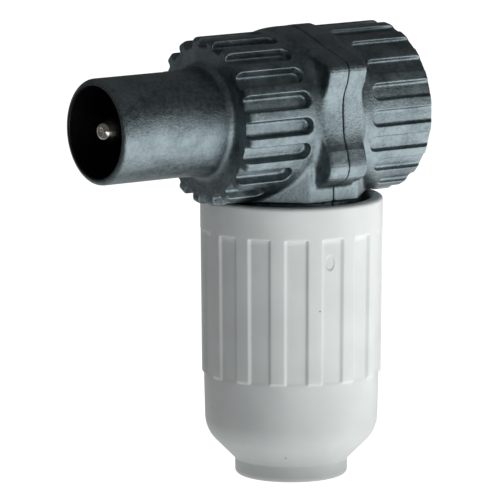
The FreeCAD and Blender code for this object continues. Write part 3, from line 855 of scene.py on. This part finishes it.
class Value:
    """A shader value that plain sums can be written with."""

    def __init__(self, graph: "Graph", socket: bpy.types.NodeSocket) -> None:
        self.graph = graph
        self.socket = socket

    def combine(self, operation: str, *others: object) -> "Value":
        """This value and others through one Math node."""
        inputs = {index: item for index, item in enumerate((self, *others))}
        return self.graph.node("ShaderNodeMath", inputs, operation=operation)[0]

    def __add__(self, other: object) -> "Value":
        return self.combine("ADD", other)

    def __sub__(self, other: object) -> "Value":
        return self.combine("SUBTRACT", other)

    def __mul__(self, other: object) -> "Value":
        return self.combine("MULTIPLY", other)

    def __truediv__(self, other: object) -> "Value":
        return self.combine("DIVIDE", other)

    def __pow__(self, other: object) -> "Value":
        return self.combine("POWER", other)

    __radd__ = __add__
    __rmul__ = __mul__

    def between(self, zero: float, one: float) -> "Value":
        """0 at and beyond zero, 1 at and beyond one, and a smooth step between them."""
        inputs = {"Value": self, "From Min": zero, "From Max": one}
        settings = {"interpolation_type": "SMOOTHSTEP"}
        return self.graph.node("ShaderNodeMapRange", inputs, **settings)[0]


class Graph:
    """One material's nodes."""

    def __init__(self, name: str) -> None:
        self.material = bpy.data.materials.new(name)
        self.material.use_nodes = True
        self.tree = self.material.node_tree
        self.tree.nodes.clear()
        self.place = self.node("ShaderNodeTexCoord")["Object"]
        self.parts = self.node("ShaderNodeSeparateXYZ", {"Vector": self.place})

    def node(self, kind: str, inputs: Optional[dict] = None, **settings: object) -> "Outputs":
        """Adds any node.

        Args:
            kind: the node's type name.
            inputs: values or Value sockets by input name or number.
            settings: the node's own properties.

        Returns:
            Its outputs, by name or number.
        """
        made = self.tree.nodes.new(kind)
        for name, value in settings.items():
            setattr(made, name, value)
        for name, value in (inputs or {}).items():
            if isinstance(value, Value):
                self.tree.links.new(value.socket, made.inputs[name])
            else:
                made.inputs[name].default_value = value
        return Outputs(self, made)

    def noise(self, scale: float, detail: float = 3.0, rough: float = 0.5) -> Value:
        """Noise about 0.5, with scale in waves to the metre."""
        inputs = {"Vector": self.place, "Scale": scale, "Detail": detail, "Roughness": rough}
        return self.node("ShaderNodeTexNoise", inputs)["Fac"]

    def mix(self, share: Value, first: object, second: object) -> Value:
        """A colour between two colours, each given as numbers or as a Value."""
        colours = {"A": first, "B": second}
        made = self.node("ShaderNodeMix", {"Factor": share}, data_type="RGBA").made
        for socket in made.inputs:
            if socket.type != "RGBA":
                continue
            colour = colours[socket.name]
            if isinstance(colour, Value):
                self.tree.links.new(colour.socket, socket)
            else:
                socket.default_value = (*colour, 1)
        return [Value(self, socket) for socket in made.outputs if socket.type == "RGBA"][0]

    def bump(self, height: Value, distance: float, strength: float = 1.0) -> Value:
        """A normal from a height that runs from 0 to 1 over distance, in metres."""
        inputs = {"Height": height, "Distance": distance, "Strength": strength}
        return self.node("ShaderNodeBump", inputs)["Normal"]

    def surface(self, **inputs: object) -> bpy.types.Material:
        """Ends the graph in a Principled surface; underscores stand for spaces in names."""
        named = {name.replace("_", " "): value for name, value in inputs.items()}
        shader = self.node("ShaderNodeBsdfPrincipled", named)["BSDF"]
        self.node("ShaderNodeOutputMaterial", {"Surface": shader})
        return self.material


class Outputs:
    """A node's outputs as Values."""

    def __init__(self, graph: Graph, made: bpy.types.Node) -> None:
        self.graph = graph
        self.made = made

    def __getitem__(self, key: object) -> Value:
        return Value(self.graph, self.made.outputs[key])


# Finishes


@dataclass(frozen=True)
class CastMetal:
    """Dark plated die-casting, mottled and slightly grainy, with shade painted near-black into the tube's
    bore.
    """

    dark: tuple[float, float, float] = (0.105, 0.132, 0.143)
    light: tuple[float, float, float] = (0.225, 0.275, 0.293)
    # Painted shade: the near-black colour laid on the bore's wall in place of the shade inside the tube.
    bore_shade: tuple[float, float, float] = (0.035, 0.035, 0.04)
    roughness: float = 0.42

    def build(self) -> bpy.types.Material:
        """The casting's material."""
        graph = Graph("cast_metal")
        cloud = graph.noise(420.0, 4.0, 0.6)
        grain = graph.noise(2600.0, 3.0, 0.6)
        share = (cloud * 0.6 + grain * 0.4).between(0.32, 0.68)
        rough = self.roughness + (cloud - 0.5) * 0.25 + (grain - 0.5) * 0.3
        height = graph.noise(5200.0, 2.0, 0.5) * 0.7 + grain * 0.5 + graph.noise(900.0) * 0.3
        # Painted shade: the bore's wall takes the near-black shade colour instead of the mottled metal.
        colour = graph.mix(self.shaded_bore(graph), graph.mix(share, self.dark, self.light), self.bore_shade)
        return graph.surface(Base_Color=colour, Metallic=1.0, Roughness=rough,
                             Normal=graph.bump(height, 0.000035))

    @staticmethod
    def shaded_bore(graph: Graph) -> Value:
        """1 on the wall of the tube's bore, where shade is painted near-black, and 0 on the outside."""
        across, up = graph.parts["Y"], graph.parts["Z"] - ShellSizes.axis_height * MM
        return ((across * across + up * up) ** 0.5).between(4.5 * MM, 4.2 * MM)


@dataclass(frozen=True)
class NickelPlate:
    """Bright nickel on turned brass."""

    colour: tuple[float, float, float] = (0.66, 0.63, 0.57)
    roughness: float = 0.2

    def build(self) -> bpy.types.Material:
        """The contact's material."""
        graph = Graph("nickel_plate")
        cloud = graph.noise(700.0)
        rough = self.roughness + (cloud - 0.5) * 0.15
        darker = tuple(part * 0.85 for part in self.colour)
        return graph.surface(Base_Color=graph.mix(cloud.between(0.3, 0.7), darker, self.colour),
                             Metallic=1.0, Roughness=rough)


@dataclass(frozen=True)
class MouldMark:
    """The oval that an ejector pin left on the nut, placed by angle and height."""

    azimuth: float = -10.4
    height: float = 20.55
    half_width: float = 0.42
    half_height: float = 0.66

    def inside(self, graph: Graph) -> Value:
        """1 inside the oval and 0 outside it."""
        turn = math.radians(self.azimuth)
        x, y, z = (graph.parts[axis] for axis in "XYZ")
        across = (x * math.cos(turn) + y * math.sin(turn)) / (self.half_width * MM)
        up = (z - self.height * MM) / (self.half_height * MM)
        outward = x * math.sin(turn) - y * math.cos(turn)
        reach = (across * across + up * up) ** 0.5
        return reach.between(1.2, 0.8) * outward.between(0.0, MM)


@dataclass(frozen=True)
class Moulding:
    """Satin plastic with a faint moulded grain."""

    name: str
    colour: tuple[float, float, float]
    roughness: float
    grain: float
    mark: Optional[MouldMark] = None

    def build(self) -> bpy.types.Material:
        """The plastic's material."""
        graph = Graph(self.name)
        cloud = graph.noise(300.0)
        height = graph.noise(4000.0, 2.0, 0.5) * self.grain + graph.noise(700.0) * self.grain
        darker = tuple(part * 0.93 for part in self.colour)
        speck = tuple(part * 0.3 for part in self.colour)
        dots = graph.node("ShaderNodeTexVoronoi", {"Vector": graph.place, "Scale": 350.0})
        colour = graph.mix(cloud.between(0.3, 0.7), darker, self.colour)
        if self.mark:
            oval = self.mark.inside(graph)
            colour = graph.mix(oval, colour, darker)
            height = height - oval * 0.00008
        colour = graph.mix(dots["Distance"].between(0.04, 0.025), colour, speck)
        return graph.surface(Base_Color=colour, Roughness=self.roughness + (cloud - 0.5) * 0.1,
                             Normal=graph.bump(height, 1.0))


# Studio


@dataclass(frozen=True)
class CameraPlace:
    """Where the photograph was taken from, in the frame's millimetres and degrees."""

    azimuth: float = -35.66
    elevation: float = 9.32
    distance: float = 525.0
    target: tuple[float, float, float] = (-4.03, 0.81, 20.82)
    width_seen: float = 45.17


@dataclass(frozen=True)
class SoftLight:
    """A square soft light aimed at the object."""

    name: str
    azimuth: float
    elevation: float
    distance: float
    size: float
    power: float


class Studio:
    """Pale floor, soft light and the camera."""

    LIGHTS = (
        SoftLight("key", 26.0, 1.0, 500.0, 380.0, 0.3),
        SoftLight("kicker", 50.0, -6.0, 130.0, 70.0, 0.02),
    )

    def __init__(self, camera: CameraPlace) -> None:
        self.camera = camera

    @staticmethod
    def direction(azimuth: float, elevation: float) -> Vector:
        """The unit vector from the object back to a viewer at these angles."""
        turn, rise = math.radians(azimuth), math.radians(elevation)
        return Vector((math.sin(turn) * math.cos(rise), -math.cos(turn) * math.cos(rise), math.sin(rise)))

    def add_camera(self) -> None:
        """The camera at the photograph's angle."""
        place = self.camera
        data = bpy.data.cameras.new("camera")
        data.sensor_width = 36.0
        data.lens = data.sensor_width * place.distance / place.width_seen
        data.clip_start, data.clip_end = 0.01, 10.0
        thing = bpy.data.objects.new("camera", data)
        back = self.direction(place.azimuth, place.elevation)
        thing.location = (Vector(place.target) + back * place.distance) * MM
        thing.rotation_mode = "QUATERNION"
        thing.rotation_quaternion = (-back).to_track_quat("-Z", "Y")
        bpy.context.scene.collection.objects.link(thing)
        bpy.context.scene.camera = thing

    def add_light(self, light: SoftLight) -> None:
        """One soft light."""
        data = bpy.data.lights.new(light.name, "AREA")
        data.size = light.size * MM
        data.energy = light.power
        thing = bpy.data.objects.new(light.name, data)
        back = self.direction(light.azimuth, light.elevation)
        thing.location = (Vector(self.camera.target) + back * light.distance) * MM
        thing.rotation_mode = "QUATERNION"
        thing.rotation_quaternion = (-back).to_track_quat("-Z", "Y")
        bpy.context.scene.collection.objects.link(thing)

    def add_floor(self) -> None:
        """A wide floor: plain and pale to the camera, and a light table on the front right."""
        half, graph = 3000.0 * MM, Graph("floor_paint")
        corners = np.array([(-half, -half, 0), (half, -half, 0), (half, half, 0), (-half, half, 0)])
        thing = mesh_object("floor", corners, [(0, 1, 2, 3)])
        dim, middling, pale, bright = ((grey,) * 3 for grey in (0.05, 0.25, 0.48, 1.0))
        across = graph.parts["X"] * 1.07 + graph.parts["Y"] * 0.45
        front = graph.parts["X"] * 0.4 - graph.parts["Y"] * 0.92
        glow = graph.mix(across.between(-0.045, -0.018), dim, middling)
        table = front.between(0.0, 0.03) * front.between(0.4, 0.15)
        glow = graph.mix(table, glow, bright)
        seen = graph.node("ShaderNodeLightPath")["Is Camera Ray"]
        glow = graph.mix(seen, glow, pale)
        thing.data.materials.append(graph.surface(
            Base_Color=(0.3, 0.3, 0.3, 1), Roughness=0.9, Emission_Color=glow, Emission_Strength=2.2))

    def add_world(self) -> None:
        """A dim room, a little brighter overhead."""
        world = bpy.data.worlds.new("studio")
        world.use_nodes = True
        tree = world.node_tree
        tree.nodes.clear()
        place = tree.nodes.new("ShaderNodeTexCoord")
        split = tree.nodes.new("ShaderNodeSeparateXYZ")
        tree.links.new(place.outputs["Generated"], split.inputs[0])
        ramp = tree.nodes.new("ShaderNodeMapRange")
        for name, value in (("From Min", 0.0), ("From Max", 0.4), ("To Min", 0.09), ("To Max", 0.15)):
            ramp.inputs[name].default_value = value
        tree.links.new(split.outputs["Z"], ramp.inputs["Value"])
        back = tree.nodes.new("ShaderNodeBackground")
        tree.links.new(ramp.outputs[0], back.inputs["Strength"])
        out = tree.nodes.new("ShaderNodeOutputWorld")
        tree.links.new(back.outputs[0], out.inputs[0])
        bpy.context.scene.world = world

    def build(self) -> None:
        """Everything round the object."""
        self.add_floor()
        self.add_world()
        for light in self.LIGHTS:
            self.add_light(light)
        self.add_camera()
        bpy.context.scene.view_settings.view_transform = "Standard"


def main() -> None:
    """Builds the plug's looks and the studio."""
    logging.basicConfig(level=logging.INFO, format="%(message)s")
    cast, nickel = CastMetal().build(), NickelPlate().build()
    white = Moulding("white_insulator", (0.8, 0.8, 0.77), 0.45, 0.000004).build()
    grey = Moulding("nut_plastic", (0.64, 0.675, 0.67), 0.38, 0.000006, MouldMark()).build()
    Shells(ShellSizes(), FlangeSizes()).build(cast)
    CapNut(NutSizes()).build(grey)
    threads = ThreadMaker()
    collar = threads.build("collar_thread", COLLAR_THREAD, cast)
    dress(collar, Body.PLUG, Slot.CASTING, cast)
    inner = threads.build("nut_thread", NUT_THREAD, grey)
    dress(inner, Body.NUT, Slot.NUT, grey)
    for node in ("contact_pin", "terminal_screw"):
        polished(node, Body.PLUG, Slot.CONTACT, nickel)
    for node in ("front_insulator", "rear_insulator"):
        polished(node, Body.PLUG, Slot.INSULATOR, white)
    polished("clamp_cage", Body.CAGE, Slot.CLAMP, nickel)
    Studio(CameraPlace()).build()


if __name__ == "__main__":
    main()
